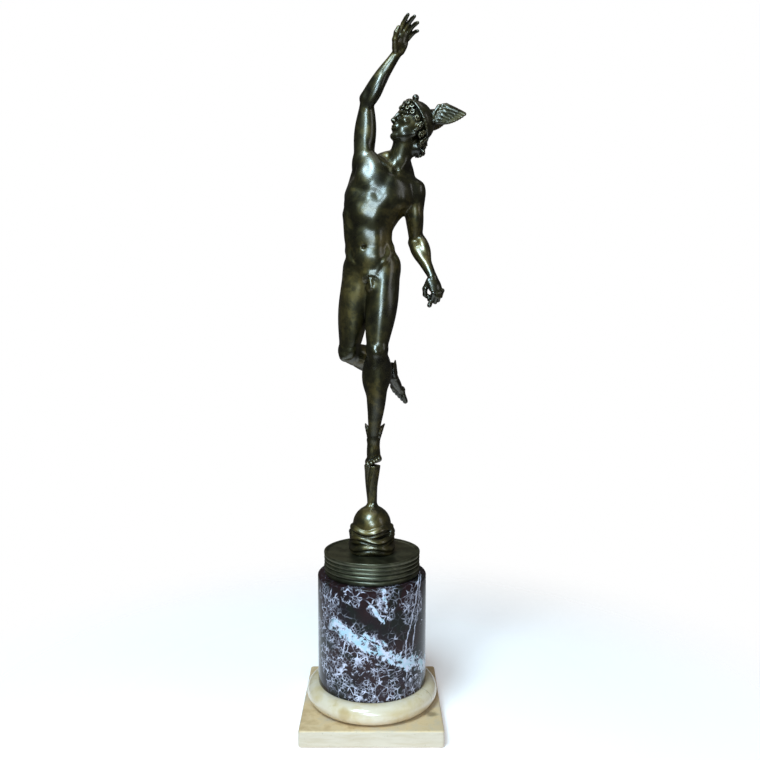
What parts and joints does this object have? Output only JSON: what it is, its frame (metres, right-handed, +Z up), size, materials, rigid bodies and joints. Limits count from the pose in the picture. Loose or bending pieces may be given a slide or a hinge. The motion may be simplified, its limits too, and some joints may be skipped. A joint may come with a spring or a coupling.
{
  "type": "bronze messenger statuette on a marble column base",
  "caption": "Bronze youth with winged cap on tiptoe on a cloud-wrapped ball, arm raised, on a turned socle, round veined marble drum, ring and square plinth.",
  "frame": {"origin": "middle of the plinth's underside, where the statuette stands", "axes": "+Z up to the raised hand, -Y towards the viewer, +X to the viewer's right, square with the plinth"},
  "size_m": [0.1729, 0.1815, 0.7418],
  "materials": {
    "figure_bronze": "gloss",
    "socle_bronze": "satin",
    "drum_marble": "polished",
    "ring_marble": "polished",
    "plinth_marble": "satin"
  },
  "bodies": {
    "root": {"messenger_figure": "figure_bronze", "cloud_ball_support": "figure_bronze", "bronze_socle": "socle_bronze", "marble_drum": "drum_marble", "base_ring": "ring_marble", "square_plinth": "plinth_marble"}
  },
  "joints": []
}
